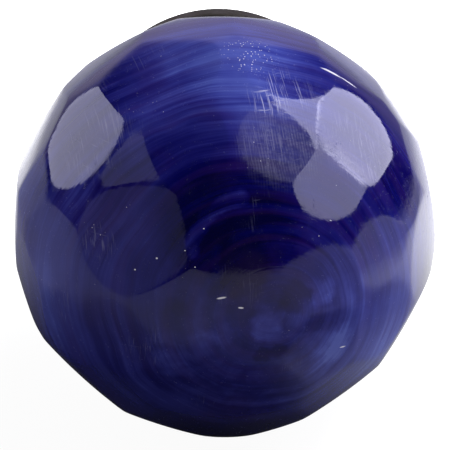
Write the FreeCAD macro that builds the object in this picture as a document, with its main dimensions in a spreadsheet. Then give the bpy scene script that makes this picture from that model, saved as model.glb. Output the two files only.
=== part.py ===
import FreeCAD, Part
import math
import os

import Sketcher

# A ceramic ball knob for a drawer or cupboard door.
#
# Frame: +Z is up and the knob's axis is Y. The origin is the centre of the base's mounting
# face, which lies on the panel. The ball is on the -Y side, towards the hand, and the bolt
# runs through the panel towards +Y.

SHEET = "spec"

# The driving dimensions, in millimetres and degrees.
DIMENSIONS = {
    "ball_radius": 20.0,
    "ball_centre": 23.8,  # from the mounting face to the ball's centre
    "foot_radius": 6.5,  # the flat on the ball's back, round the socket's mouth
    "socket_radius": 4.6,
    "socket_floor": 28.8,  # from the mounting face to the socket's floor
    "small_facet_angle": 12.0,  # half the angle that a facet spans at the ball's centre
    "medium_facet_angle": 13.0,
    "full_facet_angle": 14.0,
    "wide_facet_angle": 15.2,
    "broad_facet_angle": 17.0,
    "side_facet_angle": 18.0,
    "facet_cutter_margin": 0.4,
    "pad_thickness": 0.6,
    "pad_radius": 9.0,
    "pad_hole_radius": 2.6,
    "flange_radius": 12.5,
    "flange_edge": 1.9,  # thickness of the flange's rim
    "rim_round": 0.5,
    "lip_radius": 9.4,
    "lip_width": 0.5,
    "lip_drop": 0.35,
    "cove_radius": 4.2,
    "flange_step": 0.6,  # from the foot of the cove out to the rim
    "flange_bore_radius": 2.2,
    "recess_radius": 5.2,  # the washer's recess in the mounting face
    "recess_depth": 1.0,
    "bolt_radius": 2.0,
    "bolt_length": 45.0,
    "bolt_reach": 20.0,  # how far the bolt stands out of the mounting face
    "bolt_point": 0.5,
    "head_flats": 7.0,
    "head_height": 2.8,
    "break_groove_at": 6.0,  # the groove at which the bolt can be snapped short
    "break_groove_width": 0.9,
    "break_groove_radius": 1.4,
    "play": 0.05,  # axial gap between the loose fastenings and what they rest on
    "washer_hole_radius": 2.15,
    "washer_radius": 4.5,
    "washer_height": 0.8,
    "spring_hole_radius": 2.08,
    "spring_radius": 3.8,
    "spring_height": 0.9,
    "spring_gap": 0.8,
    "nut_flats": 7.0,
    "nut_height": 3.2,
    "nut_hole_radius": 2.05,
    "nut_countersink": 0.3,
    "nut_face_radius": 3.4,  # the round face left inside the bevelled corners
    "nut_bevel_angle": 30.0,
}

# Facets of the ball by size, as (angle from the front pole, azimuth). The azimuth goes from
# +X towards +Z. The ball is cut by hand, so the rows wander.
FACETS = {
    "small_facet_angle": (
        (8, 330), (15, 172),
        (28, 20), (28, 69), (26, 107), (33, 200), (30, 243), (28, 287), (30, 333),
        (46, 17), (45, 127), (57, 168),
        (51, 199), (50, 226), (50, 255), (50, 284), (50, 313), (48, 344),
        (60, 28), (73, 156), (84, 24), (66, 250), (67, 290),
    ),
    "medium_facet_angle": ((46, 105), (49, 69.5), (58.5, 63), (71, 70.5)),
    "full_facet_angle": ((46, 50),),
    "wide_facet_angle": (
        (73, 0), (74, 190), (70, 224),
        (94, 9), (96, 36), (90, 178), (95, 203), (92, 228), (90, 256), (92, 284), (93, 311),
        (101, 340),
    ),
    "broad_facet_angle": ((32, 142), (60.5, 49), (67.5, 136)),
    "side_facet_angle": (
        (74, 110), (70, 308), (77, 331),
        (97, 52), (98, 75), (98, 99), (97, 126), (92, 151),
    ),
}
# The even rows behind the ball's widest part, as (angle, how many, first azimuth).
FACET_RINGS = {
    "small_facet_angle": (139, 10, 5),
    "side_facet_angle": (115, 12, 28),
}

TO_FRONT = FreeCAD.Rotation(FreeCAD.Vector(1, 0, 0), 90)  # a piece's own +Z becomes -Y
TO_BACK = FreeCAD.Rotation(FreeCAD.Vector(1, 0, 0), -90)  # a piece's own +Z becomes +Y
CLEARANCE_FOR_CUTS = 1.0
ON_AXIS = 1e-6

doc = FreeCAD.newDocument("ball_knob")


def make_sheet():
    sheet = doc.addObject("Spreadsheet::Sheet", SHEET)
    for row, (name, value) in enumerate(DIMENSIONS.items(), start=1):
        sheet.set(f"A{row}", name)
        sheet.set(f"B{row}", str(value))
        sheet.setAlias(f"B{row}", name)
    doc.recompute()
    return sheet


sheet = make_sheet()


def expression(text):
    """The text with each dimension's name pointed at the sheet."""
    words = []
    word = ""
    for letter in text + " ":
        if letter.isalnum() or letter == "_":
            word += letter
            continue
        words.append(f"{SHEET}.{word}" if word in DIMENSIONS else word)
        words.append(letter)
        word = ""
    return "".join(words).strip()


def value(text):
    """What an expression comes to now, as a plain number."""
    result = sheet.evalExpression(expression(text).replace(f"{SHEET}.", ""))
    return float(getattr(result, "Value", result))


def bind(thing, name, text):
    thing.setExpression(name, expression(text))


def place(thing, label, turn, along="0"):
    """Names a finished sub-part and sets it on the knob's axis, along millimetres up Y."""
    thing.Label = label
    thing.Placement = FreeCAD.Placement(FreeCAD.Vector(0, value(along), 0), turn)
    if along != "0":
        bind(thing, "Placement.Base.y", along)
    return thing


# Part primitives ---------------------------------------------------------------------


def cylinder(name, radius, height, base="0"):
    made = doc.addObject("Part::Cylinder", name)
    bind(made, "Radius", radius)
    bind(made, "Height", height)
    if base != "0":
        bind(made, "Placement.Base.z", base)
    return made


def cut(name, base, tool):
    made = doc.addObject("Part::Cut", name)
    made.Base = base
    made.Tool = tool
    return made


def direction(polar, azimuth):
    """A unit vector in the ball's own frame, whose +Z is the front pole."""
    down = math.radians(polar)
    around = math.radians(azimuth)
    ring = math.sin(down)
    return FreeCAD.Vector(ring * math.cos(around), ring * math.sin(around), math.cos(down))


def facet_cutter(number, polar, azimuth, half_angle):
    """A disc outside one facet's plane, which stands where a cone of half_angle meets the ball."""
    out = direction(polar, azimuth)
    distance = f"ball_radius * cos({half_angle} * 1 deg)"
    radius = f"ball_radius * sin({half_angle} * 1 deg) + facet_cutter_margin"
    cutter = cylinder(f"Facet{number:02d}", radius, f"ball_radius - {distance} + facet_cutter_margin")
    cutter.Placement.Rotation = FreeCAD.Rotation(FreeCAD.Vector(0, 0, 1), out)
    bind(cutter, "Placement.Base.x", f"({out.x:.9f}) * {distance}")
    bind(cutter, "Placement.Base.y", f"({out.y:.9f}) * {distance}")
    bind(cutter, "Placement.Base.z", f"ball_centre + ({out.z:.9f}) * {distance}")
    return cutter


def all_facets():
    """Every facet, as (angle from the front pole, azimuth, the name of its size)."""
    facets = [(*facet, size) for size, group in FACETS.items() for facet in group]
    for size, (polar, count, first) in FACET_RINGS.items():
        facets += [(polar, first + k * 360 / count, size) for k in range(count)]
    return facets


def ball_head():
    """The ceramic ball: a sphere cut flat over most of its skin, with a foot and a blind socket."""
    ball = doc.addObject("Part::Sphere", "BallBlank")
    bind(ball, "Radius", "ball_radius")
    bind(ball, "Placement.Base.z", "ball_centre")
    cutters = doc.addObject("Part::Compound", "FacetCutters")
    cutters.Links = [facet_cutter(number, *facet) for number, facet in enumerate(all_facets())]
    ball = cut("FacetedBall", ball, cutters)
    foot = "ball_centre - sqrt(ball_radius^2 - foot_radius^2)"
    below_foot = cylinder("FootCut", "ball_radius", foot)
    ball = cut("BallOnFoot", ball, below_foot)
    socket = cylinder("SocketCut", "socket_radius", "socket_floor")
    return place(cut("BallHead", ball, socket), "ball_head", TO_FRONT)


def socket_cement():
    """The setting compound: the socket's volume, less the bolt's head and shank."""
    foot = "(ball_centre - sqrt(ball_radius^2 - foot_radius^2))"
    fill = cylinder("SocketFill", "socket_radius", f"socket_floor - {foot}", foot)
    head = doc.addObject("Part::Prism", "HeadSpace")
    head.Polygon = 6
    bind(head, "Circumradius", "head_flats / sqrt(3)")
    bind(head, "Height", "head_height")
    bind(head, "Placement.Base.z", "bolt_length - bolt_reach")
    shank = cylinder("ShankSpace", "bolt_radius", "bolt_length - bolt_reach")
    bolt = doc.addObject("Part::Fuse", "BoltSpace")
    bolt.Base = head
    bolt.Tool = shank
    return place(cut("SocketCement", fill, bolt), "socket_cement", TO_FRONT)


# PartDesign bodies -------------------------------------------------------------------


def new_body(name):
    return doc.addObject("PartDesign::Body", name)


def sketch_on(body, name, role="XZ_Plane"):
    """A sketch on one of the body's own origin planes."""
    sketch = body.newObject("Sketcher::SketchObject", name)
    plane = next(p for p in body.Origin.OriginFeatures if p.Role == role)
    sketch.AttachmentSupport = [(plane, "")]
    sketch.MapMode = "FlatFace"
    return sketch


def fix_point(sketch, edge, end, across, up):
    """Holds one end of an edge at (across, up) from the sketch's origin."""
    for kind, text, axis in (("DistanceX", across, -2), ("DistanceY", up, -1)):
        if text == "0":
            sketch.addConstraint(Sketcher.Constraint("PointOnObject", edge, end, axis))
            continue
        index = sketch.addConstraint(Sketcher.Constraint(kind, -1, 1, edge, end, value(text)))
        bind(sketch, f"Constraints[{index}]", text)


def arc_between(start, end, radius, bulge):
    """The short arc from start to end. With bulge 1 its centre is left of the way there."""
    middle = (start + end) / 2
    chord = end - start
    left = FreeCAD.Vector(-chord.y, chord.x, 0).normalize()
    centre = middle + left * bulge * math.sqrt(radius**2 - (chord.Length / 2) ** 2)
    first, last = (start, end) if bulge > 0 else (end, start)
    angles = [math.atan2(p.y - centre.y, p.x - centre.x) for p in (first, last)]
    if angles[1] < angles[0]:
        angles[1] += 2 * math.pi
    return Part.ArcOfCircle(Part.Circle(centre, FreeCAD.Vector(0, 0, 1), radius), *angles)


def outline(sketch, corners):
    """A closed outline. A corner is (across, up), and with (radius, bulge) an arc leaves it.

    An arc centred on the vertical axis is held there, so that it turns into a true sphere.
    """
    points = [FreeCAD.Vector(value(c[0]), value(c[1]), 0) for c in corners]
    ends = []
    for index, corner in enumerate(corners):
        start = points[index]
        end = points[(index + 1) % len(points)]
        if len(corner) == 2:
            edge = sketch.addGeometry(Part.LineSegment(start, end), False)
            ends.append((edge, 1, 2))
            continue
        radius, bulge = corner[2:]
        arc = arc_between(start, end, value(radius), bulge)
        edge = sketch.addGeometry(arc, False)
        ends.append((edge, 1, 2) if bulge > 0 else (edge, 2, 1))
        if abs(arc.Center.x) < ON_AXIS:
            sketch.addConstraint(Sketcher.Constraint("PointOnObject", edge, 3, -2))
            continue
        held = sketch.addConstraint(Sketcher.Constraint("Radius", edge, value(radius)))
        bind(sketch, f"Constraints[{held}]", radius)
    for index, corner in enumerate(corners):
        edge, start, _ = ends[index]
        before, _, end = ends[index - 1]
        sketch.addConstraint(Sketcher.Constraint("Coincident", before, end, edge, start))
        fix_point(sketch, edge, start, corner[0], corner[1])


def circle(sketch, radius):
    edge = sketch.addGeometry(Part.Circle(FreeCAD.Vector(), FreeCAD.Vector(0, 0, 1), value(radius)))
    sketch.addConstraint(Sketcher.Constraint("Coincident", edge, 3, -1, 1))
    held = sketch.addConstraint(Sketcher.Constraint("Radius", edge, value(radius)))
    bind(sketch, f"Constraints[{held}]", radius)


def hexagon(sketch, flats):
    """A hexagon round the origin with two corners on the X axis."""
    corners = []
    for k in range(6):
        turn = math.radians(60 * k)
        across = f"({math.cos(turn):.9f}) * {flats} / sqrt(3)"
        up = f"({math.sin(turn):.9f}) * {flats} / sqrt(3)"
        corners.append((across, "0" if k % 3 == 0 else up))
    outline(sketch, corners)


def turned(body, name, corners, cutting=False):
    """Turns an outline, drawn as (radius, height), round the body's Z axis."""
    sketch = sketch_on(body, f"{name}Sketch")
    outline(sketch, corners)
    kind = "PartDesign::Groove" if cutting else "PartDesign::Revolution"
    feature = body.newObject(kind, name)
    feature.Profile = sketch
    feature.ReferenceAxis = (sketch, ["V_Axis"])
    feature.Angle = 360
    return feature


def padded(body, name, sketch, height):
    feature = body.newObject("PartDesign::Pad", name)
    feature.Profile = sketch
    bind(feature, "Length", height)
    return feature


def shape_change(body, before):
    """Recomputes, and gives the volume that the last feature took away."""
    doc.recompute()
    return before - body.Shape.Volume


def base_flange():
    """The cast base: a dished seat for the ball, a cove, and a flange that lies on the panel."""
    body = new_body("BaseFlange")
    seat = "(ball_radius + pad_thickness)"
    floor = f"(ball_centre - sqrt({seat}^2 - foot_radius^2))"
    lip = f"(ball_centre - sqrt({seat}^2 - lip_radius^2))"
    crown = "(lip_radius + lip_width)"
    turned(body, "Casting", [
        ("flange_bore_radius", "recess_depth"),
        ("recess_radius", "recess_depth"),
        ("recess_radius", "0"),
        ("flange_radius - rim_round", "0", "rim_round", 1),
        ("flange_radius", "rim_round"),
        ("flange_radius", "flange_edge - rim_round", "rim_round", 1),
        ("flange_radius - rim_round", "flange_edge"),
        ("flange_radius - flange_step", "flange_edge", "cove_radius", -1),
        (crown, f"{lip} - lip_drop"),
        ("lip_radius", lip, seat, -1),
        ("foot_radius", floor),
        ("flange_bore_radius", floor),
    ])
    return place(body, "base_flange", TO_FRONT)


def seat_pad():
    """The thin pad that fills the space between the ball's back and the base's dished seat."""
    body = new_body("SeatPad")
    seat = "(ball_radius + pad_thickness)"
    floor = f"(ball_centre - sqrt({seat}^2 - foot_radius^2))"
    edge = f"(ball_centre - sqrt({seat}^2 - pad_radius^2))"
    foot = "(ball_centre - sqrt(ball_radius^2 - foot_radius^2))"
    crest = "(ball_centre - sqrt(ball_radius^2 - pad_radius^2))"
    turned(body, "Pad", [
        ("pad_hole_radius", floor),
        ("foot_radius", floor, seat, 1),
        ("pad_radius", edge),
        ("pad_radius", crest, "ball_radius", -1),
        ("foot_radius", foot),
        ("pad_hole_radius", foot),
    ])
    return place(body, "seat_pad", TO_FRONT)


def anchor_bolt():
    """The bolt: a hexagon head in the cement, and a shank whose end is grooved to snap short."""
    body = new_body("AnchorBolt")
    head = sketch_on(body, "HeadSketch", "XY_Plane")
    hexagon(head, "head_flats")
    padded(body, "Head", head, "head_height")
    end = "(head_height + bolt_length)"
    turned(body, "Shank", [
        ("0", "head_height / 2"),
        ("bolt_radius", "head_height / 2"),
        ("bolt_radius", f"{end} - bolt_point"),
        ("bolt_radius - bolt_point", end),
        ("0", end),
    ])
    doc.recompute()
    whole = body.Shape.Volume
    groove = f"({end} - bolt_reach + break_groove_at)"
    outside = f"bolt_radius + {CLEARANCE_FOR_CUTS}"
    turned(body, "BreakGroove", [
        ("break_groove_radius", groove),
        ("bolt_radius", f"{groove} - break_groove_width / 2"),
        (outside, f"{groove} - break_groove_width / 2"),
        (outside, f"{groove} + break_groove_width / 2"),
        ("bolt_radius", f"{groove} + break_groove_width / 2"),
    ], cutting=True)
    assert shape_change(body, whole) > 0, "the groove must cut the bolt"
    return place(body, "anchor_bolt", TO_BACK, "bolt_reach - bolt_length - head_height")


WASHER_AT = "(play - recess_depth)"
SPRING_AT = f"({WASHER_AT} + washer_height + play)"
NUT_AT = f"({SPRING_AT} + spring_height + play)"


def flat_washer():
    body = new_body("FlatWasher")
    ring = sketch_on(body, "WasherSketch", "XY_Plane")
    circle(ring, "washer_radius")
    circle(ring, "washer_hole_radius")
    padded(body, "Washer", ring, "washer_height")
    return place(body, "flat_washer", TO_BACK, WASHER_AT)


def lock_washer():
    """The spring washer, pressed flat under the nut, with its split on the +X side."""
    body = new_body("LockWasher")
    ring = sketch_on(body, "SpringSketch", "XY_Plane")
    circle(ring, "spring_radius")
    circle(ring, "spring_hole_radius")
    padded(body, "Spring", ring, "spring_height")
    doc.recompute()
    whole = body.Shape.Volume
    split = sketch_on(body, "SplitSketch", "XY_Plane")
    outline(split, [
        ("spring_hole_radius / 2", "0 - spring_gap"),
        ("spring_radius + spring_gap", "0 - spring_gap / 4"),
        ("spring_radius + spring_gap", "spring_gap * 3 / 4"),
        ("spring_hole_radius / 2", "0"),
    ])
    pocket = body.newObject("PartDesign::Pocket", "Split")
    pocket.Profile = split
    pocket.Type = "ThroughAll"
    pocket.Midplane = True
    assert shape_change(body, whole) > 0, "the split must cut the ring"
    return place(body, "lock_washer", TO_BACK, SPRING_AT)


def hex_nut():
    """The nut, with its corners bevelled on both faces and its hole countersunk."""
    body = new_body("HexNut")
    block = sketch_on(body, "NutSketch", "XY_Plane")
    hexagon(block, "nut_flats")
    circle(block, "nut_hole_radius")
    padded(body, "Nut", block, "nut_height")
    doc.recompute()
    whole = body.Shape.Volume
    outside = f"(nut_flats / sqrt(3) + {CLEARANCE_FOR_CUTS})"
    slope = f"({outside} - nut_face_radius) * tan(nut_bevel_angle * 1 deg)"
    for name, face, sign in (("FrontBevel", "0", "+"), ("BackBevel", "nut_height", "-")):
        corners = [("nut_face_radius", face), (outside, face), (outside, f"{face} {sign} {slope}")]
        turned(body, name, corners, cutting=True)
        assert shape_change(body, whole) > 0, "the bevel must cut the nut"
        whole = body.Shape.Volume
    mouths = [
        f"Edge{number}"
        for number, edge in enumerate(body.Shape.Edges, start=1)
        if abs(edge.Length - 2 * math.pi * value("nut_hole_radius")) < 1e-6
    ]
    bevelled = body.Tip
    chamfer = body.newObject("PartDesign::Chamfer", "Countersink")
    chamfer.Base = (bevelled, mouths)
    bind(chamfer, "Size", "nut_countersink")
    return place(body, "hex_nut", TO_BACK, NUT_AT)


def write(pieces):
    """Checks every object, then writes one STEP file for each piece."""
    doc.recompute()
    failed = [o.Name for o in doc.Objects if {"Invalid", "Error"} & set(o.State)]
    assert not failed, f"these objects failed: {failed}"
    os.makedirs("parts", exist_ok=True)
    for piece in pieces:
        shape = piece.Shape
        assert not shape.isNull() and shape.isValid(), f"{piece.Label} has no valid shape"
        assert len(shape.Solids) == 1, f"{piece.Label} has {len(shape.Solids)} solids"
        shape.exportStep(f"parts/{piece.Label}.step")
        box = shape.BoundBox
        print(
            f"{piece.Label}: {shape.Volume:.2f} mm3,"
            f" X {box.XMin:.2f} to {box.XMax:.2f},"
            f" Y {box.YMin:.2f} to {box.YMax:.2f},"
            f" Z {box.ZMin:.2f} to {box.ZMax:.2f}"
        )


write([
    ball_head(),
    socket_cement(),
    anchor_bolt(),
    seat_pad(),
    base_flange(),
    flat_washer(),
    lock_washer(),
    hex_nut(),
])
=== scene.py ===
import math

import bmesh
import bpy
import numpy as np
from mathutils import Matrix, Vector, geometry

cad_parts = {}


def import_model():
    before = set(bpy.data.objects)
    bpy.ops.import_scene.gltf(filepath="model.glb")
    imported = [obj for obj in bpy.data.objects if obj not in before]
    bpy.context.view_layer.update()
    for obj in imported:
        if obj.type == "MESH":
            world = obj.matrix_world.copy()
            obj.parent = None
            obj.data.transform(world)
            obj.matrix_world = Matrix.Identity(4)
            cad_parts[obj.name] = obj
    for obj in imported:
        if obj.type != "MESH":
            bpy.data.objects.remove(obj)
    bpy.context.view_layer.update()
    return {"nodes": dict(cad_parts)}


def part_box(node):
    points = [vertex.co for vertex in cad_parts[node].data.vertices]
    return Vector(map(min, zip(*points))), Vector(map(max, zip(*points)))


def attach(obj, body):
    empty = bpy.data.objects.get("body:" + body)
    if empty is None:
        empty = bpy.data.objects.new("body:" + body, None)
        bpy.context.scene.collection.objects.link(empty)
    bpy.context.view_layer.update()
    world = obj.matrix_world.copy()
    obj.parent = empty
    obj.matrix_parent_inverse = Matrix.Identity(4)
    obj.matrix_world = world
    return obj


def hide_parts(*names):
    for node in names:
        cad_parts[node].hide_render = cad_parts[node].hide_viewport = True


# A ceramic ball knob, in metres, in the frame of the CAD model: +Z up, the knob's axis along Y,
# the ball towards -Y, and the origin at the centre of the base's mounting face.

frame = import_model()

MM = 0.001
MERGE_DISTANCE = 0.0005 * MM
BALL_RADIUS = 20 * MM
FOOT_RADIUS = 6.5 * MM
SOCKET_RADIUS = 4.6 * MM
SEAT_RADIUS = 20.6 * MM  # of the base's dish, about the ball's centre

FOOT_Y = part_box("ball_head")[1].y
BALL_CENTRE = Vector((0, FOOT_Y - math.sqrt(BALL_RADIUS**2 - FOOT_RADIUS**2), 0))
FOOT_ANGLE = math.pi - math.asin(FOOT_RADIUS / BALL_RADIUS)  # of its rim, from the front pole
SOCKET_FLOOR_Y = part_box("socket_cement")[0].y


def unit(azimuth, elevation):
    """A direction from the ball: azimuth 0 is the front, 90 the +X side, in degrees."""
    a = math.radians(azimuth)
    e = math.radians(elevation)
    return Vector((math.sin(a) * math.cos(e), -math.cos(a) * math.cos(e), math.sin(e)))


# Meshes ------------------------------------------------------------------------------


def new_piece(name, vertices, faces, material, node, body, crease=40):
    """A smooth mesh piece that stands for a CAD node and rides on its body."""
    mesh = bpy.data.meshes.new(name)
    mesh.from_pydata([tuple(v) for v in vertices], [], [tuple(f) for f in faces])
    edit = bmesh.new()
    edit.from_mesh(mesh)
    bmesh.ops.remove_doubles(edit, verts=edit.verts, dist=MERGE_DISTANCE)
    bmesh.ops.dissolve_degenerate(edit, edges=edit.edges, dist=MERGE_DISTANCE)
    bmesh.ops.recalc_face_normals(edit, faces=edit.faces)
    edit.to_mesh(mesh)
    edit.free()
    mesh.validate()
    mesh.shade_smooth()
    mesh.set_sharp_from_angle(angle=math.radians(crease))
    mesh.materials.append(material)
    piece = bpy.data.objects.new(name, mesh)
    bpy.context.scene.collection.objects.link(piece)
    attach(piece, body)
    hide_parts(node)
    return piece


def around(radius, turn, along):
    """A point beside the knob's axis. The turn is right-handed about +Y, from +Z."""
    return (radius * math.sin(turn), along, radius * math.cos(turn))


def rings(radii_and_y, segments):
    """Vertices and faces of rows round the axis. Radius and Y may be functions of the turn."""
    vertices = []
    faces = []
    for radius, along in radii_and_y:
        for k in range(segments):
            turn = 2 * math.pi * k / segments
            r = radius(turn) if callable(radius) else radius
            y = along(turn) if callable(along) else along
            vertices.append(around(r, turn, y))
    for row in range(len(radii_and_y) - 1):
        for k in range(segments):
            a = row * segments
            b = a + segments
            after = (k + 1) % segments
            faces.append((a + k, a + after, b + after, b + k))
    return vertices, faces


def joined(*parts):
    """Several (vertices, faces) as one."""
    vertices = []
    faces = []
    for more_vertices, more_faces in parts:
        shift = len(vertices)
        vertices += more_vertices
        faces += [tuple(i + shift for i in face) for face in more_faces]
    return vertices, faces


def softened(corners, size, steps=4):
    """A closed outline whose corners are turned into short curves."""
    made = []
    for index, corner in enumerate(corners):
        here = Vector(corner)
        before = Vector(corners[index - 1]) - here
        after = Vector(corners[(index + 1) % len(corners)]) - here
        start = here + before.normalized() * min(size, 0.4 * before.length)
        end = here + after.normalized() * min(size, 0.4 * after.length)
        for k in range(steps + 1):
            t = k / steps
            made.append(tuple((1 - t) ** 2 * start + 2 * t * (1 - t) * here + t**2 * end))
    return made


def arc(start, end, radius, side, steps):
    """Points after start, up to end, on the short arc. Side 1 has its centre on the left."""
    a = Vector(start)
    b = Vector(end)
    chord = b - a
    left = Vector((-chord.y, chord.x)).normalized()
    centre = (a + b) / 2 + left * side * math.sqrt(radius**2 - (chord.length / 2) ** 2)
    first = math.atan2(a.y - centre.y, a.x - centre.x)
    swing = 2 * math.asin(chord.length / (2 * radius)) * side
    angles = [first + swing * k / steps for k in range(1, steps + 1)]
    return [(centre.x + radius * math.cos(t), centre.y + radius * math.sin(t)) for t in angles]


# The ball ----------------------------------------------------------------------------

FACET_DEPTHS = (0.93, 0.985)  # a facet's distance from the centre, in ball radii
FACING_BACK = 0.99  # the foot's flat, which looks along +Y
SAME_FACET = math.cos(math.radians(3))
FACET_BOW = 2.6 * BALL_RADIUS  # a facet is ground slightly convex, to this radius
FLAT_BOW = 9 * BALL_RADIUS  # the same, for a facet that was ground nearly flat
# Which facets are nearly flat, and which have rolled rims, as (azimuth, elevation).
FLAT_FACETS = ((-26, 19), (-15, 44), (22, 45), (44, 63), (-50, 64))
ROLLED_FACETS = ((-60, 40), (50, 41), (33, 33), (22, 45))
SAME_PLACE = math.cos(math.radians(4))
FACET_SCOPE = 0.7  # a facet is left out where its normal's cosine to the direction is below this
ROLL_WIDTH = 0.078  # how far inside a facet's rim the roll begins, in radians
ROLL = 1.2 * BALL_RADIUS  # how far the roll lowers the rim, per squared angle past the start
RIDGE_SOFTNESS = (0.025 * MM, 0.055 * MM)  # how far the glaze rounds a ridge, least and most
RIDGE_REACH = 0.05 * MM  # the mesh is fine where two faces of the ball are this close
FINE_SPACING = 0.16 * MM
COARSE_SPACING = 0.5 * MM
RIM_SEGMENTS = 240
WAVE_HEIGHT = 0.010 * MM  # how uneven the hand-cut facets are
WAVE_FADE = 0.1  # how far from the foot the waves reach their height, in radians
RIM_FADE = 0.02  # how far from the foot the surface starts to meet the foot's rim, in radians
FOOT_ROUND = 0.15 * MM


def facets():
    """Each facet's normal, depth, bow and roll, read from the CAD ball's own flat faces."""
    mesh = frame["nodes"]["ball_head"].data
    found = []
    for polygon in sorted(mesh.polygons, key=lambda p: -p.area):
        normal = polygon.normal
        depth = normal.dot(polygon.center - BALL_CENTRE) / BALL_RADIUS
        if not FACET_DEPTHS[0] < depth < FACET_DEPTHS[1] or normal.y > FACING_BACK:
            continue
        if all(normal.dot(other) < SAME_FACET for other, *_ in found):
            flat = any(normal.dot(unit(*place)) > SAME_PLACE for place in FLAT_FACETS)
            rolled = any(normal.dot(unit(*place)) > SAME_PLACE for place in ROLLED_FACETS)
            bow = FLAT_BOW if flat else FACET_BOW
            found.append((normal.copy(), depth * BALL_RADIUS, bow, ROLL * rolled))
    return [np.array(column) for column in zip(*found)]


def slow_waves(directions, count, lowest, highest, seed):
    """A smooth random field over the sphere, near 1 at most."""
    draw = np.random.default_rng(seed)
    total = np.zeros(len(directions))
    for _ in range(count):
        way = draw.normal(size=3)
        way *= draw.uniform(lowest, highest) / np.linalg.norm(way)
        total += np.sin(directions @ way + draw.uniform(0, 2 * math.pi))
    return total / math.sqrt(count)


def reaches(directions, normals, depths, bows, rolls):
    """How far out each facet's bowed face, and the uncut sphere, lies along each direction."""
    offsets = depths - np.sqrt(bows**2 - BALL_RADIUS**2 + depths**2)
    slopes = directions @ normals.T
    bowed = offsets * slopes + np.sqrt(bows**2 - offsets**2 * (1 - slopes**2))
    angles = np.arccos(np.clip(slopes, -1, 1))
    past = np.maximum(angles - np.arccos(depths / BALL_RADIUS) + ROLL_WIDTH, 0)
    curved = np.minimum(past, ROLL_WIDTH)
    bowed -= rolls * curved * (2 * past - curved)
    faces = np.where(slopes > FACET_SCOPE, bowed, 2 * BALL_RADIUS)
    return np.column_stack([faces, np.full(len(directions), BALL_RADIUS)])


def ball_points(directions, cut):
    """Points of the glazed surface: the nearest face along each direction, with soft ridges."""
    reach = reaches(directions, *cut)
    nearest = reach.min(axis=1)
    share = 0.5 + 0.5 * np.clip(slow_waves(directions, 6, 2, 5, seed=3), -1, 1)
    soft = RIDGE_SOFTNESS[0] + (RIDGE_SOFTNESS[1] - RIDGE_SOFTNESS[0]) * share
    crowd = np.exp((nearest[:, None] - reach) / soft[:, None]).sum(axis=1)
    radius = nearest - soft * np.log(crowd)
    from_foot = FOOT_ANGLE - np.arccos(np.clip(-directions[:, 1], -1, 1))
    waves = WAVE_HEIGHT * (slow_waves(directions, 10, 6, 16, seed=8) - 1)
    radius += np.clip(from_foot / WAVE_FADE, 0, 1) * waves
    radius += (BALL_RADIUS - radius) * np.clip(1 - from_foot / RIM_FADE, 0, 1)
    return np.array(BALL_CENTRE) + directions * radius[:, None]


def lattice(spacing):
    """Directions spread evenly over the sphere, by the golden angle, with the front pole first."""
    count = int(4 * math.pi * (BALL_RADIUS / spacing) ** 2)
    step = np.arange(count) + 0.5
    along = 1 - 2 * step / count
    ring = np.sqrt(1 - along**2)
    turn = step * math.pi * (3 - math.sqrt(5))
    return np.column_stack([ring * np.cos(turn), -along, ring * np.sin(turn)])


def ball_directions(cut):
    """Mesh directions: a ring round the foot, then fine near ridges and coarse on the faces."""
    picked = []
    for spacing, near_ridge in ((FINE_SPACING, True), (COARSE_SPACING, False)):
        spread = lattice(spacing)
        polar = np.arccos(np.clip(-spread[:, 1], -1, 1))
        spread = spread[polar < FOOT_ANGLE - 0.6 * COARSE_SPACING / BALL_RADIUS]
        two = np.partition(reaches(spread, *cut), 1, axis=1)[:, :2]
        close = (two[:, 1] - two[:, 0]) < RIDGE_REACH
        picked.append(spread[close == near_ridge])
    turn = np.linspace(0, 2 * math.pi, RIM_SEGMENTS, endpoint=False)
    ring = np.column_stack([
        math.sin(FOOT_ANGLE) * np.sin(turn),
        np.full(RIM_SEGMENTS, -math.cos(FOOT_ANGLE)),
        math.sin(FOOT_ANGLE) * np.cos(turn),
    ])
    return np.vstack([ring, *picked])


def over_sphere(directions):
    """Triangles over the directions: flat ones of their map from the back pole."""
    scale = 1 / (1 - directions[:, 1])
    flat = [Vector((x * s, z * s)) for (x, _, z), s in zip(directions, scale)]
    made = geometry.delaunay_2d_cdt(flat, [], [], 0, 1e-7)
    origin = [ids[0] for ids in made[3]]
    return [tuple(origin[i] for i in face) for face in made[2]]


def ball_head(material):
    cut = facets()
    directions = ball_directions(cut)
    skin = [tuple(p) for p in ball_points(directions, cut)], over_sphere(directions)
    back = rings([
        (FOOT_RADIUS, FOOT_Y),
        (FOOT_RADIUS - FOOT_ROUND, FOOT_Y),
        (SOCKET_RADIUS + FOOT_ROUND, FOOT_Y),
        (SOCKET_RADIUS, FOOT_Y - FOOT_ROUND),
        (SOCKET_RADIUS, SOCKET_FLOOR_Y),
        (0, SOCKET_FLOOR_Y),
    ], RIM_SEGMENTS)
    vertices, faces = joined(skin, back)
    return new_piece("ball_glazed", vertices, faces, material, "ball_head", "knob")


# The base and the fastenings -----------------------------------------------------------

LATHE_SEGMENTS = 160
FLANGE_RADIUS = 12.5 * MM
FLANGE_EDGE = 1.9 * MM
FLANGE_BORE = 2.2 * MM
RECESS_RADIUS = 5.2 * MM
RECESS_DEPTH = 1.0 * MM
LIP_RADIUS = 9.4 * MM
LIP_WIDTH = 0.5 * MM
LIP_DROP = 0.35 * MM
COVE_RADIUS = 4.2 * MM
COVE_FOOT = 11.9 * MM
FLANGE_SOFTNESS = 0.32 * MM  # how far its edges are rounded

BOLT_RADIUS = 2.0 * MM
PITCH = 0.7 * MM
THREAD_DEPTH = 0.43 * MM
THREAD_SEGMENTS = 40
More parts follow.
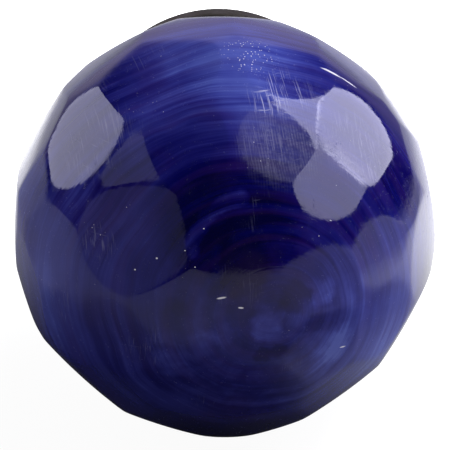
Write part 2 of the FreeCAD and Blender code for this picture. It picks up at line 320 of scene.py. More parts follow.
# One pitch of the thread, as (place in the pitch, height as a share of the thread's depth).
THREAD_PROFILE = ((0, 0), (0.14, 0), (0.40, 0.88), (0.46, 1), (0.56, 1), (0.62, 0.88), (0.88, 0))
THREAD_RUNOUT = 0.45 * MM
THREAD_PLAY = 0.05 * MM
GROOVE = (5.55 * MM, 6.45 * MM)  # the groove at which the bolt can be snapped short
GROOVE_RADIUS = 1.4 * MM
HEAD_FLATS = 7.0 * MM
HEAD_HEIGHT = 2.8 * MM
NUT_FACE_RADIUS = 3.4 * MM
NUT_BEVEL = math.tan(math.radians(30))
NUT_COUNTERSINK = 0.3 * MM
NUT_SEGMENTS = 96
THREAD_CREASE = 32
WASHER_BORE = 2.15 * MM
WASHER_SOFTNESS = 0.14 * MM
SPRING_BEVEL = 0.07 * MM


def lathed(name, outline, soften, material, node, body):
    """A turned piece from a closed outline of (radius, Y)."""
    rows = softened(outline, soften)
    vertices, faces = rings(rows + rows[:1], LATHE_SEGMENTS)
    return new_piece(name, vertices, faces, material, node, body)


def dish_y(radius):
    """Where the base's dished seat lies at a distance from the axis."""
    return BALL_CENTRE.y + math.sqrt(SEAT_RADIUS**2 - radius**2)


def base_flange(material):
    floor = dish_y(FOOT_RADIUS)
    lip = dish_y(LIP_RADIUS)
    crown = (LIP_RADIUS + LIP_WIDTH, lip + LIP_DROP)
    outline = [
        (FLANGE_BORE, -RECESS_DEPTH),
        (RECESS_RADIUS, -RECESS_DEPTH),
        (RECESS_RADIUS, 0),
        (FLANGE_RADIUS, 0),
        (FLANGE_RADIUS, -FLANGE_EDGE),
        (COVE_FOOT, -FLANGE_EDGE),
        *arc((COVE_FOOT, -FLANGE_EDGE), crown, COVE_RADIUS, 1, 12),
        (LIP_RADIUS, lip),
        *arc((LIP_RADIUS, lip), (FOOT_RADIUS, floor), SEAT_RADIUS, -1, 8),
        (FLANGE_BORE, floor),
    ]
    lathed("base_cast", outline, FLANGE_SOFTNESS, material, "base_flange", "knob")


def flat_washer(material):
    low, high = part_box("flat_washer")
    outline = [(WASHER_BORE, low.y), (high.x, low.y), (high.x, high.y), (WASHER_BORE, high.y)]
    lathed(
        "washer_punched", outline, WASHER_SOFTNESS,
        material, "flat_washer", "washers",
    )


def helix(start, end, root, runout):
    """A threaded surface between two places on Y, which fades to a plain radius at both ends."""
    per_turn = len(THREAD_PROFILE)
    first = math.floor(start / PITCH) - 1
    last = math.ceil(end / PITCH) + 1
    count = (last - first) * THREAD_SEGMENTS
    vertices = []
    faces = []
    for step in range(count + 1):
        turn = 2 * math.pi * step / THREAD_SEGMENTS
        for place, share in THREAD_PROFILE:
            y = (first + step / THREAD_SEGMENTS + place) * PITCH
            y = min(max(y, start), end)
            fade = min(1, (y - start) / THREAD_RUNOUT, (end - y) / THREAD_RUNOUT)
            radius = root + THREAD_DEPTH * share
            vertices.append(around(runout + (radius - runout) * fade, turn, y))
    for step in range(count):
        a = step * per_turn
        for k in range(per_turn - 1):
            faces.append((a + k, a + per_turn + k, a + per_turn + k + 1, a + k + 1))
        ahead = a + THREAD_SEGMENTS * per_turn
        if step + THREAD_SEGMENTS < count:
            faces.append((a + per_turn - 1, a + 2 * per_turn - 1, ahead + per_turn, ahead))
    return vertices, faces


def hexagon(flats):
    """The radius of a hexagon with two corners on the X axis, by the turn from +Z."""
    def radius(turn):
        off = (turn + math.pi / 6) % (math.pi / 3) - math.pi / 6
        return flats / 2 / math.cos(off)
    return radius


def anchor_bolt(material):
    low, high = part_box("anchor_bolt")
    root = BOLT_RADIUS - THREAD_DEPTH
    head_top = low.y + HEAD_HEIGHT
    hexed = hexagon(HEAD_FLATS)
    head = rings([
        (0, low.y),
        (NUT_FACE_RADIUS, low.y),
        (hexed, lambda turn: low.y + (hexed(turn) - NUT_FACE_RADIUS) * NUT_BEVEL),
        (hexed, head_top),
        (0, head_top),
    ], NUT_SEGMENTS)
    groove = rings([
        (root, GROOVE[0]),
        (GROOVE_RADIUS, GROOVE[0]),
        (GROOVE_RADIUS, GROOVE[1]),
        (root, GROOVE[1]),
    ], THREAD_SEGMENTS)
    cap = rings([(root, high.y), (0, high.y)], THREAD_SEGMENTS)
    vertices, faces = joined(
        head,
        helix(head_top, GROOVE[0], root, root),
        groove,
        helix(GROOVE[1], high.y, root, root),
        cap,
    )
    new_piece(
        "bolt_threaded", vertices, faces,
        material, "anchor_bolt", "knob", THREAD_CREASE,
    )


def hex_nut(material):
    low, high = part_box("hex_nut")
    hexed = hexagon(HEAD_FLATS)
    major = BOLT_RADIUS + THREAD_PLAY
    mouth = major + NUT_COUNTERSINK
    thread_low = low.y + NUT_COUNTERSINK
    thread_high = high.y - NUT_COUNTERSINK

    def bevel(turn):
        return (hexed(turn) - NUT_FACE_RADIUS) * NUT_BEVEL

    outside = rings([
        (major, thread_low),
        (mouth, low.y),
        (NUT_FACE_RADIUS, low.y),
        (hexed, lambda turn: low.y + bevel(turn)),
        (hexed, lambda turn: high.y - bevel(turn)),
        (NUT_FACE_RADIUS, high.y),
        (mouth, high.y),
        (major, thread_high),
    ], NUT_SEGMENTS)
    inside = helix(thread_low, thread_high, major - THREAD_DEPTH, major)
    vertices, faces = joined(outside, inside)
    new_piece(
        "nut_threaded", vertices, faces, material, "hex_nut", "nut", THREAD_CREASE
    )


def dress(name, material, bevel=None):
    """Gives a CAD node its own material, and its edges a small bevel."""
    node = frame["nodes"][name]
    for place in node.material_slots:
        place.material = material
    if bevel:
        edge = node.modifiers.new("edge_break", "BEVEL")
        edge.width = bevel
        edge.segments = 3
        edge.limit_method = "ANGLE"
        edge.angle_limit = math.radians(40)


# Node materials ----------------------------------------------------------------------


class Nodes:
    """A material's nodes, made by short calls that take values or sockets."""

    def __init__(self, name):
        self.material = bpy.data.materials.new(name)
        self.material.use_nodes = True
        self.tree = self.material.node_tree
        self.shader = self.tree.nodes["Principled BSDF"]
        self.place = self.add("ShaderNodeTexCoord", {}, "Object")

    def put(self, socket, value):
        if isinstance(value, bpy.types.NodeSocket):
            self.tree.links.new(value, socket)
        elif value is not None:
            socket.default_value = value

    def add(self, kind, inputs, output=0, **settings):
        node = self.tree.nodes.new(kind)
        for key, setting in settings.items():
            setattr(node, key, setting)
        for key, value in inputs.items():
            self.put(node.inputs[key], value)
        return node.outputs[output]

    def math(self, operation, first, second=None):
        inputs = {0: first} if second is None else {0: first, 1: second}
        return self.add("ShaderNodeMath", inputs, operation=operation)

    def times(self, first, second):
        return self.math("MULTIPLY", first, second)

    def most(self, first, second):
        return self.math("MAXIMUM", first, second)

    def plus(self, first, second, factor=1.0):
        """The first, plus the second times a factor."""
        return self.add(
            "ShaderNodeMath", {0: second, 1: factor, 2: first}, operation="MULTIPLY_ADD"
        )

    def vector(self, operation, first, second=None, output=0):
        inputs = {0: first} if second is None else {0: first, 1: second}
        return self.add("ShaderNodeVectorMath", inputs, output, operation=operation)

    def stretched(self, vector, x, y, z):
        return self.vector("MULTIPLY", vector, (x, y, z))

    def dot(self, first, second):
        return self.vector("DOT_PRODUCT", first, tuple(second), output=1)

    def combined(self, x, y, z):
        return self.add("ShaderNodeCombineXYZ", {0: x, 1: y, 2: z})

    def spread(self, value, low, high, to_low=0.0, to_high=1.0):
        """A smooth step from to_low, where the value is low, up or down to to_high."""
        inputs = {0: value, 1: low, 2: high, 3: to_low, 4: to_high}
        return self.add("ShaderNodeMapRange", inputs, interpolation_type="SMOOTHSTEP")

    def noise(self, vector, scale, detail=2.0, roughness=0.5, distortion=0.0, output=0):
        inputs = {
            "Vector": vector,
            "Scale": scale,
            "Detail": detail,
            "Roughness": roughness,
            "Distortion": distortion,
        }
        return self.add("ShaderNodeTexNoise", inputs, output)

    def even_noise(self, *settings):
        """Noise that is centred on 0."""
        return self.math("SUBTRACT", self.noise(*settings), 0.5)

    def cells(self, vector, scale, output="Distance"):
        return self.add("ShaderNodeTexVoronoi", {"Vector": vector, "Scale": scale}, output)

    def mix(self, share, first, second, blend="MIX"):
        node = self.tree.nodes.new("ShaderNodeMix")
        node.data_type = "RGBA"
        node.blend_type = blend
        self.put(node.inputs[0], share)
        self.put(node.inputs[6], first)
        self.put(node.inputs[7], second)
        return node.outputs[2]

    def ramp(self, share, stops):
        node = self.tree.nodes.new("ShaderNodeValToRGB")
        self.put(node.inputs[0], share)
        elements = node.color_ramp.elements
        while len(elements) < len(stops):
            elements.new(0.5)
        for element, (place, colour) in zip(elements, stops):
            element.position = place
            element.color = (*colour, 1)
        return node.outputs[0]

    def bump(self, height, distance):
        return self.add("ShaderNodeBump", {"Height": height, "Distance": distance})

    def finish(self, **values):
        for key, value in values.items():
            self.put(self.shader.inputs[key.replace("_", " ")], value)
        return self.material


# Places on the ball are (azimuth, elevation), and all widths are in degrees.

SWIRL = (11, 0)  # the brush's turning point
OUTER_SWIRL = (3, -2)  # the centre of the outer rings
# Broad lights and darks, as (azimuth, elevation, half width, change of tone): the paint's own
# changes of tone, with painted light at the top and the sides and painted shade at the bottom.
PAINT_AND_SHADE_REGIONS = (
    (-8, 68, 38, 0.32), (32, 66, 26, 0.14), (0, 24, 24, -0.40), (-58, 58, 14, -0.16),
    (44, 63, 12, -0.08), (-14, 47, 16, -0.14), (46, -8, 32, 0.18), (-66, 4, 36, 0.26),
    (-30, 16, 20, 0.06), (50, -34, 38, 0.22), (-40, -34, 36, 0.10), (6, -60, 30, -0.08),
    (60, 24, 13, -0.16), (21, 44, 14, -0.12), (76, -16, 17, -0.25), (34, -44, 20, -0.14),
    (180, 20, 90, 0.20),
)
# Dabs near the brush's turning point, as (azimuth, elevation, half width, change of tone).
PAINT_DABS = (
    (10, -4, 5.6, 0.24), (25, 4, 4.8, 0.24), (-2, -6, 4.5, 0.16), (17, -1, 5.0, 0.12),
    (-15, -15, 6.5, 0.16), (29, -14, 8.0, 0.14), (-8, -8, 7.0, 0.08), (2, -20, 8.0, 0.08),
    (9, -13, 3.2, -0.22), (14, -12, 3.4, -0.20), (23, -5, 4.0, -0.16), (17, 4, 5.5, -0.22),
    (4, 10, 8.0, -0.14), (-14, -1, 6.0, -0.10), (3, 0, 4.5, -0.14),
)
# Single strokes round the turning point, as (radius, middle, half length, half width, change
# of tone). The middle is where the stroke lies, left about from +X.
PAINT_STROKES = (
    (19.5, 62, 40, 1.5, 0.13), (21.6, 50, 32, 1.3, -0.20), (23.2, 92, 26, 1.4, 0.14),
    (26.0, 92, 24, 2.6, -0.20), (29.5, 96, 26, 1.3, 0.10), (31.5, 84, 24, 1.6, -0.16),
    (34.5, 104, 30, 1.6, 0.12), (15.0, 100, 34, 2.2, -0.12), (27.0, 20, 34, 2.0, -0.12),
    (30.0, 12, 40, 1.6, 0.10), (33.5, 24, 30, 1.4, -0.12), (24.0, -30, 40, 1.6, 0.10),
    (29.0, -60, 44, 2.0, -0.12), (33.0, -100, 40, 1.8, 0.10), (37.0, 190, 40, 2.0, -0.14),
    (42.0, 176, 30, 1.4, 0.10), (46.0, 210, 34, 1.8, -0.12), (40.0, -40, 34, 1.6, -0.10),
)
# A long stroke that hooks away from the rings, as a run of places.
HOOKED_STROKE = ((4, 31), (0, 30), (-4, 28), (-7, 25), (-9, 22), (-10, 19), (-10, 16))
HOOK_HALF_WIDTH = 2.6
# Pale marks in the clay's colour, as (azimuth, elevation, length, width, tilt): slips of the brush
# where bare clay shows in the first row, a pale streak in the second, and specks of bare clay in
# the others.
PALE_SLIPS = (
    (-2, 5, 1.4, 0.30, 10), (3, 2, 0.8, 0.30, -8), (33, -15, 1.0, 0.24, 0),
    (68, 58, 3.4, 0.42, -70), (71, 53, 3.0, 0.26, -76),
    (-26, 10, 0.26, 0.24, 0), (-20, 14, 0.34, 0.28, 0), (-7, 23, 0.22, 0.20, 0),
    (-12, 17, 0.20, 0.18, 0), (-9, 13, 0.20, 0.20, 0), (30, 22, 0.40, 0.10, -30),
)
# Single places, as (azimuth, elevation, half width).
DARK_SPOTS = ((4, 10, 9), (17, 5, 7))
CROWDED_PITS = (24, 74, 9)
WOVEN_SCRATCHES = (20, 44, 14)
WORN_PLACES = ((35, 60, 10), (20, 57, 8), (17, 44, 12), (50, 38, 13), (-52, 40, 14), (-38, 15, 6))
KEEN_SCRATCHES = ((33, 61, 7), (21, 57, 6))  # where the scratches are deepest
SCUFFS = ((43, 42, 4), (40, 39, 3), (46, 38, 3), (-45, 36, 4), (26, 27, 3))

# The paint's colour by its tone, from thick to thin.
COBALT = (
    (0.05, (0.0002, 0.0002, 0.024)),
    (0.30, (0.0005, 0.0005, 0.060)),
    (0.52, (0.0065, 0.0065, 0.105)),
    (0.70, (0.0190, 0.0210, 0.172)),
    (0.86, (0.0380, 0.0480, 0.258)),
    (1.00, (0.0680, 0.0900, 0.345)),
)
VIOLET = (0.030, 0.008, 0.080, 1)
DARK_VIOLET = (0.0120, 0.0060, 0.0420, 1)
SCRATCH_COLOUR = (0.36, 0.36, 0.50, 1)
KEEN_COLOUR = (0.50, 0.50, 0.66, 1)
CLAY_COLOUR = (0.72, 0.70, 0.72, 1)


def lobe(n, out, azimuth, elevation, half_width, inner=0.0):
    """1 at a direction, falling smoothly to 0 at half_width degrees from it."""
    edge = math.cos(math.radians(half_width))
    core = math.cos(math.radians(half_width * inner))
    return n.spread(n.dot(out, unit(azimuth, elevation)), edge, core)


class Brush:
    """The glaze's nodes, with each place told by the rings that the brush went round in."""

    def __init__(self, n):
        self.n = n
        self.out = n.vector("NORMALIZE", n.vector("SUBTRACT", n.place, tuple(BALL_CENTRE)))
        swirl = unit(*SWIRL)
        side = Vector((0, 0, 1)).cross(swirl).normalized()
        self.across = n.dot(self.out, side)
        self.above = n.dot(self.out, swirl.cross(side))
        near = n.math("ARCCOSINE", n.dot(self.out, swirl))
        far = n.math("ARCCOSINE", n.dot(self.out, unit(*OUTER_SWIRL)))
        polar = n.plus(near, n.times(n.math("SUBTRACT", far, near), n.spread(far, 0.35, 1.1)))
        self.polar = n.plus(polar, n.even_noise(self.out, 1.7, 2), 0.12)
        self.streak = self.rings(22, 1.0, 3)
        self.fine = self.rings(70, 1.3, 3)
        self.smeared = self.pushed(11, 3, 0.11)

    def rings(self, rate, along, detail):
        """Noise in rings, at one scale across them and another along them, centred on 0."""
        n = self.n
        point = n.combined(self.across, self.above, n.times(self.polar, rate / along))
        return n.even_noise(point, along, detail, 0.55)

    def pushed(self, scale, detail, amount):
        """The direction from the ball's centre, pushed aside by noise."""
        n = self.n
        push = n.vector("SUBTRACT", n.noise(self.out, scale, detail, output=1), (0.5, 0.5, 0.5))
        push = n.stretched(push, amount, amount, amount)
        return n.vector("NORMALIZE", n.vector("ADD", self.out, push))


def hooked_stroke(brush):
    n = brush.n
    place = brush.pushed(14, 2, 0.04)
    hook = 0.0
    for (start_az, start_el), (end_az, end_el) in zip(HOOKED_STROKE, HOOKED_STROKE[1:]):
        for share in (0, 0.25, 0.5, 0.75):
            azimuth = start_az + (end_az - start_az) * share
            elevation = start_el + (end_el - start_el) * share
            hook = n.most(hook, lobe(n, place, azimuth, elevation, HOOK_HALF_WIDTH))
    return n.times(hook, n.spread(brush.streak, -0.2, 0.1, 0.5, 1.0))


def single_strokes(brush, tone):
    """The tone, with the single strokes laid over it."""
    n = brush.n
    heading = n.math("ARCTAN2", brush.above, brush.across)
    grain = n.spread(brush.fine, -0.25, 0.1, 0.4, 1.0)
    for radius, middle, half_length, half_width, change in PAINT_STROKES:
        off = n.math("ABSOLUTE", n.math("SUBTRACT", brush.polar, math.radians(radius)))
        band = n.spread(off, 0.0, math.radians(half_width), 1.0, 0.0)
        bend = n.math("SUBTRACT", heading, math.radians(middle))
        length = n.spread(n.math("COSINE", bend), math.cos(math.radians(half_length)), 1.0)
        band = n.times(band, n.math("POWER", length, 0.4))
        tone = n.plus(tone, n.times(band, grain), change)
    return tone


def paint_and_shade_tone(brush):
    """How light the paint is, from 0 where it is thick to 1 where it is thin, with painted light
    at the top and the sides and painted shade at the bottom laid in.
    """
    n = brush.n
    out = brush.out
    lively = n.spread(n.noise(out, 2.6, 2), 0.38, 0.62, 0.35, 1.0)
    lively = n.times(lively, n.plus(1.0, lobe(n, out, 8, -14, 44, inner=0.4), -0.35))
    strokes = n.plus(n.times(brush.streak, 0.62), brush.fine, 0.42)
    tone = n.plus(0.50, brush.rings(7, 1.1, 2), 0.42)
    tone = n.plus(tone, n.times(strokes, lively))
    tone = n.plus(tone, brush.rings(210, 2.0, 2), 0.15)
    tone = n.plus(tone, n.even_noise(out, 3.2, 3, 0.6), 0.30)
    cloud = n.times(n.even_noise(out, 9, 3, 0.6, 0.4), lobe(n, out, 6, -8, 42))
    tone = n.plus(tone, cloud, 0.62)
    # The broad lights and darks, with painted light at the top and the sides and painted shade at
    # the bottom.
    for *where, change in PAINT_AND_SHADE_REGIONS:
        tone = n.plus(tone, lobe(n, out, *where), change)
    for *where, change in PAINT_DABS:
        tone = n.plus(tone, lobe(n, brush.smeared, *where, inner=0.35), change)
    tone = n.plus(tone, hooked_stroke(brush), 0.40)
    return single_strokes(brush, tone)


def paint_colour(brush):
    """Cobalt, tinged with violet in patches, in bands and at the dark spots."""
    n = brush.n
    colour = n.ramp(paint_and_shade_tone(brush), COBALT)
    patches = n.spread(n.noise(brush.out, 2.1, 3, 0.6), 0.50, 0.66)
    bands = n.spread(brush.rings(16, 1.2, 2), -0.02, 0.14)
    tinge = n.times(n.plus(n.times(patches, 0.5), bands, 0.5), 0.5)
    colour = n.mix(tinge, colour, n.mix(0.6, colour, VIOLET))
    for place in DARK_SPOTS:
        colour = n.mix(n.times(lobe(n, brush.smeared, *place), 0.45), colour, DARK_VIOLET)
    return colour


def pale_slip(n, out, azimuth, elevation, length, width, tilt):
    """1 on a small oval round a direction, whose length is tilted from level."""
    middle = unit(azimuth, elevation)
    level = Vector((0, 0, 1)).cross(middle).normalized()
    turn = math.radians(tilt)
    long_way = level * math.cos(turn) + middle.cross(level) * math.sin(turn)
    offset = n.vector("SUBTRACT", out, tuple(middle))
    u = n.math("DIVIDE", n.dot(offset, long_way), math.radians(length))
    v = n.math("DIVIDE", n.dot(offset, middle.cross(long_way)), math.radians(width))
    gap = n.math("SQRT", n.plus(n.times(u, u), n.times(v, v)))
    ahead = n.math("GREATER_THAN", n.dot(out, middle), 0.9)
    return n.times(n.spread(gap, 0.6, 1.1, 1, 0), ahead)


def bare_clay(n, out):
    """1 on the pits and slips where the pale clay shows, and on the pale streak."""
    pits = n.spread(n.cells(out, 34), 0.045, 0.085, 1.0, 0.0)
    where = n.spread(n.noise(out, 4.5, 2), 0.60, 0.68)
    crowd = lobe(n, out, *CROWDED_PITS)
    clay = n.times(pits, n.most(where, crowd))
    fine_pits = n.spread(n.cells(out, 66), 0.14, 0.21, 1.0, 0.0)
    clay = n.most(clay, n.times(fine_pits, crowd))
    # Slips of the brush, a pale streak and specks, all in the clay's colour.
    for slip in PALE_SLIPS:
        clay = n.most(clay, pale_slip(n, out, *slip))
    return clay


def woven_scratches(brush):
    """Fine ribs that cross, in one place."""
    n = brush.n
    ripple = n.even_noise(brush.out, 7, 2)
    ribs = n.math("SINE", n.plus(n.times(brush.across, 480), ripple, 8))
    cross_ribs = n.math("SINE", n.plus(n.times(brush.above, 420), ripple, 8))
    weave = n.plus(n.times(ribs, 0.65), cross_ribs, 0.2)
    weave = n.times(n.plus(0.5, weave, 0.5), lobe(n, brush.out, *WOVEN_SCRATCHES))
    return n.times(weave, n.spread(n.noise(brush.out, 24, 2), 0.35, 0.6, 0.2, 1.0))


def scratches(brush):
    """How scratched the glaze is across the strokes, in all and where it is deepest."""
    n = brush.n
    out = brush.out
    downward = n.combined(n.times(brush.across, 150), n.times(brush.above, 9), 0)
    sideways = n.combined(n.times(brush.across, 9), n.times(brush.above, 150), 0)
    lines = n.most(
        n.spread(n.noise(downward, 1.0, 2, 0.6), 0.54, 0.68),
        n.spread(n.noise(sideways, 1.0, 2, 0.6), 0.62, 0.74),
    )
    worn = n.spread(n.noise(out, 3.6, 3, 0.6), 0.60, 0.70, 0.0, 0.5)
    for place in WORN_PLACES:
        worn = n.most(worn, lobe(n, out, *place))
    hatch = n.most(n.times(lines, worn), n.times(woven_scratches(brush), 0.8))
    keen = n.most(*[lobe(n, out, *place) for place in KEEN_SCRATCHES])
    return hatch, n.times(lines, keen)


def scuffs(n, out, haze):
    """How dull the glaze is rubbed, in fine flecks and in a few places."""
    flecks = n.spread(n.noise(out, 90, 3, 0.7), 0.56, 0.70)
    dull = n.times(flecks, n.spread(haze, 0.48, 0.62, 0.0, 0.7))
    rubs = n.spread(n.noise(out, 34, 4, 0.75), 0.54, 0.66)
    for place in SCUFFS:
        dull = n.most(dull, n.times(rubs, lobe(n, out, *place)))
    return dull


def glaze():
    """Cobalt glaze, brushed on in rings round a turning point beside the front pole."""
    n = Nodes("cobalt_glaze")
    brush = Brush(n)
    out = brush.out
    clay = bare_clay(n, out)
    hatch, keen = scratches(brush)
    colour = paint_colour(brush)
    colour = n.mix(n.times(hatch, 0.20), colour, SCRATCH_COLOUR)
    colour = n.mix(n.times(keen, 0.5), colour, KEEN_COLOUR)
    colour = n.mix(n.times(clay, 0.9), colour, CLAY_COLOUR)
    haze = n.noise(out, 26, 3, 0.65)
    gloss = n.plus(n.spread(haze, 0.40, 0.75, 0.05, 0.16), hatch, 0.10)
    gloss = n.plus(n.plus(gloss, clay, 0.35), scuffs(n, out, haze), 0.45)
    height = n.plus(n.times(brush.fine, 0.5), n.noise(out, 40, 2), 0.35)
    height = n.plus(n.plus(height, hatch, 0.10), clay, -0.9)
    return n.finish(Base_Color=colour, Roughness=gloss, IOR=1.5, Normal=n.bump(height, 0.016 * MM))


def aged_metal():
    """A dark cast alloy, dulled and rubbed brighter in places, with fine sand-cast grain."""
    n = Nodes("aged_metal")
    broad = n.noise(n.place, 260, 4, 0.6)
    grain = n.noise(n.place, 2600, 3, 0.6)
    stain = n.noise(n.place, 620, 4, 0.65, 0.4)
    colour = n.ramp(n.plus(n.times(broad, 0.7), stain, 0.3), (
        (0.30, (0.030, 0.027, 0.019)),
        (0.50, (0.075, 0.068, 0.050)),
        (0.72, (0.150, 0.138, 0.118)),
    ))
    rough = n.spread(stain, 0.3, 0.7, 0.34, 0.62)
    pits = n.spread(n.cells(n.place, 1500), 0.05, 0.28, -1.0, 0.0)
    height = n.plus(n.plus(grain, broad, 1.2), pits, 0.5)
    return n.finish(
        Base_Color=colour, Metallic=0.85, Roughness=rough, Normal=n.bump(height, 0.05 * MM)
    )


def plated_steel():
    """Bright zinc plate, faintly yellow and blue, with fine turning lines and handling marks."""
    n = Nodes("plated_steel")
    film = n.noise(n.place, 420, 3, 0.6)
    spangle = n.cells(n.place, 1900, output="Color")
    colour = n.ramp(film, (
        (0.32, (0.42, 0.44, 0.50)),
        (0.50, (0.56, 0.55, 0.53)),
        (0.68, (0.60, 0.55, 0.42)),
    ))
    colour = n.mix(0.10, colour, spangle, "MULTIPLY")
    lines = n.noise(n.stretched(n.place, 300, 9000, 300), 1.0, 3, 0.6)
    rub = n.noise(n.place, 3200, 3, 0.6)
    rough = n.spread(n.plus(n.times(film, 0.6), rub, 0.4), 0.35, 0.65, 0.20, 0.42)
    height = n.plus(n.times(lines, 0.5), rub, 0.5)
    return n.finish(
        Base_Color=colour, Metallic=1.0, Roughness=rough, Normal=n.bump(height, 0.008 * MM)
    )


def spring_steel():
    """Dark oiled spring steel, straw and blue from tempering, with drawn grain."""
    n = Nodes("spring_steel")
    heat = n.noise(n.place, 380, 3, 0.6)
    colour = n.ramp(heat, (
        (0.34, (0.070, 0.074, 0.100)),
        (0.50, (0.110, 0.100, 0.095)),
        (0.66, (0.190, 0.140, 0.085)),
    ))
    grain = n.noise(n.stretched(n.place, 900, 5200, 900), 1.0, 3, 0.6)
    rough = n.spread(grain, 0.3, 0.7, 0.26, 0.48)
    return n.finish(
        Base_Color=colour, Metallic=1.0, Roughness=rough, Normal=n.bump(grain, 0.010 * MM)
    )


def pad_rubber():
    """A dull black rubber washer with moulded speckle."""
    n = Nodes("pad_rubber")
    dust = n.noise(n.place, 1400, 4, 0.65)
    colour = n.ramp(dust, ((0.35, (0.014, 0.014, 0.015)), (0.70, (0.052, 0.050, 0.048))))
    pores = n.noise(n.place, 5200, 2)
    rough = n.spread(dust, 0.3, 0.7, 0.62, 0.86)
    return n.finish(Base_Color=colour, Roughness=rough, Normal=n.bump(pores, 0.03 * MM))


def plaster():
    """Setting cement: off-white and gritty, with small air holes."""
    n = Nodes("cement")
    cloud = n.noise(n.place, 500, 4, 0.6)
    colour = n.ramp(cloud, ((0.30, (0.44, 0.41, 0.35)), (0.70, (0.66, 0.63, 0.57))))
    holes = n.spread(n.cells(n.place, 1700), 0.06, 0.22, -1.0, 0.0)
    grit = n.noise(n.place, 4200, 3, 0.6)
    height = n.plus(grit, holes, 1.5)
    rough = n.spread(grit, 0.3, 0.7, 0.75, 0.95)
    return n.finish(Base_Color=colour, Roughness=rough, Normal=n.bump(height, 0.06 * MM))


# Studio ------------------------------------------------------------------------------

CAMERA_ELEVATION = 24.3
CAMERA_AZIMUTH = -1.5
CAMERA_DISTANCE = 19 * BALL_RADIUS
VIEW_WIDTH = 2.112 * BALL_RADIUS  # of the plane through the ball's centre
FRAME_SHIFT = (0.0033, -0.0022)
FLOOR_LEVEL = -BALL_RADIUS
FLOOR_SIZE = 3.0
AMBIENT = 0.5
LAMP_COLOUR = (0.90, 0.89, 1.12)
# In reflections, the world goes from dim to lit where the direction's +Y goes from low to high.
WALL_LOW, WALL_HIGH = 0.60, 0.78
WALL_DIM, WALL_LIT = 0.02, 0.46
WALL_TINT = (0.90, 0.80, 1.0, 1)


def aim(thing, azimuth, elevation, distance):
    """Sets a camera or lamp at a direction from the ball's centre, looking at it."""
    back = unit(azimuth, elevation)
    thing.location = BALL_CENTRE + back * distance
    thing.rotation_euler = (-back).to_track_quat("-Z", "Y").to_euler()


def camera():
    data = bpy.data.cameras.new("camera")
    data.sensor_width = 36
    data.lens = data.sensor_width * CAMERA_DISTANCE / VIEW_WIDTH
    data.shift_x, data.shift_y = FRAME_SHIFT
    data.clip_start = 0.01
    made = bpy.data.objects.new("camera", data)
    bpy.context.scene.collection.objects.link(made)
    aim(made, CAMERA_AZIMUTH, CAMERA_ELEVATION, CAMERA_DISTANCE)
    bpy.context.scene.camera = made


def softbox(name, azimuth, elevation, width, height, radiance, shape="ELLIPSE", distance=0.9):
    """A cool lamp that spans width by height degrees as seen from the ball."""
    data = bpy.data.lights.new(name, "AREA")
    data.shape = shape
    data.color = LAMP_COLOUR
    data.size = 2 * distance * math.tan(math.radians(width / 2))
    data.size_y = 2 * distance * math.tan(math.radians(height / 2))
    fill = math.pi / 4 if shape == "ELLIPSE" else 1
    data.energy = radiance * math.pi * data.size * data.size_y * fill
    made = bpy.data.objects.new(name, data)
    bpy.context.scene.collection.objects.link(made)
    made.visible_camera = False
    aim(made, azimuth, elevation, distance)


def world():
    """White to the camera, even for diffuse light, and reflected as a pale wall behind."""
    made = bpy.data.worlds.new("studio")
    bpy.context.scene.world = made
    made.use_nodes = True
    tree = made.node_tree
    back = tree.nodes["Background"]
    coord = tree.nodes.new("ShaderNodeTexCoord")
    split = tree.nodes.new("ShaderNodeSeparateXYZ")
    tree.links.new(coord.outputs["Generated"], split.inputs[0])
    fade = tree.nodes.new("ShaderNodeMapRange")
    fade.interpolation_type = "SMOOTHSTEP"
    for index, value in enumerate((WALL_LOW, WALL_HIGH, WALL_DIM, WALL_LIT), start=1):
        fade.inputs[index].default_value = value
    tree.links.new(split.outputs[1], fade.inputs[0])
    path = tree.nodes.new("ShaderNodeLightPath")
    tint = tree.nodes.new("ShaderNodeMix")
    tint.data_type = "RGBA"
    tree.links.new(path.outputs["Is Glossy Ray"], tint.inputs[0])
    tint.inputs[6].default_value = (1, 1, 1, 1)
    tint.inputs[7].default_value = WALL_TINT
    tree.links.new(tint.outputs[2], back.inputs["Color"])
    strength = fade.outputs[0]
    for ray, level in (("Is Diffuse Ray", AMBIENT), ("Is Camera Ray", 1.0)):
        pick = tree.nodes.new("ShaderNodeMix")
        tree.links.new(path.outputs[ray], pick.inputs[0])
        tree.links.new(strength, pick.inputs[2])
        pick.inputs[3].default_value = level
        strength = pick.outputs[0]
    tree.links.new(strength, back.inputs["Strength"])


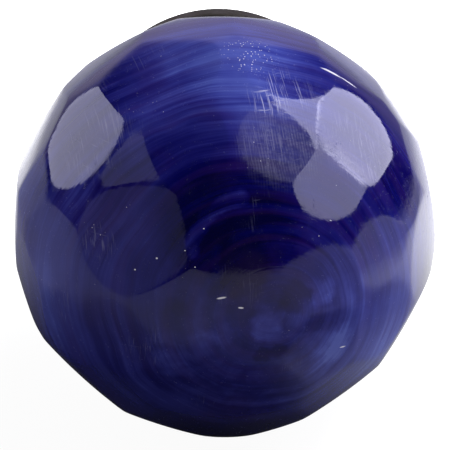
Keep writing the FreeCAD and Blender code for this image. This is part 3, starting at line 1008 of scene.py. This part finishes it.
def floor():
    """The pale floor that the ball stands on, lit to white for the camera. In reflections it shows
    a painted shadow round the ball and painted pools of light to the back right and the right.
    """
    size = FLOOR_SIZE
    mesh = bpy.data.meshes.new("floor")
    ends = ((-size, -size), (size, -size), (size, size), (-size, size))
    mesh.from_pydata([(x, y, FLOOR_LEVEL) for x, y in ends], [], [(0, 1, 2, 3)])
    n = Nodes("pale_floor")
    from_ball = n.vector("SUBTRACT", n.place, (0, BALL_CENTRE.y, FLOOR_LEVEL))
    reach = n.vector("LENGTH", from_ball, output=1)

    def by(distance, low, high, to_low, to_high):
        """The same as spread, with low and high in ball radii."""
        return n.spread(distance, low * BALL_RADIUS, high * BALL_RADIUS, to_low, to_high)

    # Painted shadow: the floor's colour goes dark towards where the ball stands, for the ball's
    # lower facets to reflect.
    painted_shadow = by(reach, 1.0, 3.2, 0.03, 0.36)
    # Painted light: the floor glows brighter towards the back right, a pool of light for the
    # ball's lower right facets to reflect, fading far off.
    painted_window_glow = by(n.dot(from_ball, unit(145, 0)), 0.4, 3.4, 0.0, 1.7)
    painted_window_glow = n.times(painted_window_glow, by(reach, 4.0, 8.0, 1.0, 0.1))
    # Painted light: a small glowing patch on the floor close by the ball's right side.
    right = by(n.dot(from_ball, unit(75, 0)), 0.45, 1.1, 0.0, 0.36)
    right = n.times(right, by(reach, 1.3, 2.0, 1.0, 0.0))
    sight = n.add("ShaderNodeLightPath", {}, "Is Camera Ray")
    glow = n.plus(n.plus(painted_window_glow, right), sight, 0.95)
    mesh.materials.append(n.finish(
        Base_Color=n.combined(painted_shadow, painted_shadow, painted_shadow),
        Roughness=0.9,
        Emission_Color=(1, 1, 1, 1),
        Emission_Strength=glow,
    ))
    made = bpy.data.objects.new("floor", mesh)
    bpy.context.scene.collection.objects.link(made)


plate = plated_steel()
ball_head(glaze())
base_flange(aged_metal())
anchor_bolt(plate)
flat_washer(plate)
hex_nut(plate)
dress("lock_washer", spring_steel(), bevel=SPRING_BEVEL)
dress("seat_pad", pad_rubber())
dress("socket_cement", plaster())

camera()
floor()
world()
softbox("right_key", 112, 26, 31, 33, 6.3)
softbox("right_fill", 74, 30, 46, 30, 3.3)
softbox("right_strip", 102, 52, 36, 28, 5.0, distance=0.95)
softbox("right_top", 60, 58, 34, 34, 0.65)
softbox("left_key", -119, 22, 36, 32, 2.8)
softbox("left_fill", -74, 38, 26, 24, 0.6, "RECTANGLE")
softbox("left_low", -64, 7, 40, 22, 0.25, "RECTANGLE")

bpy.context.scene.view_settings.view_transform = "Standard"
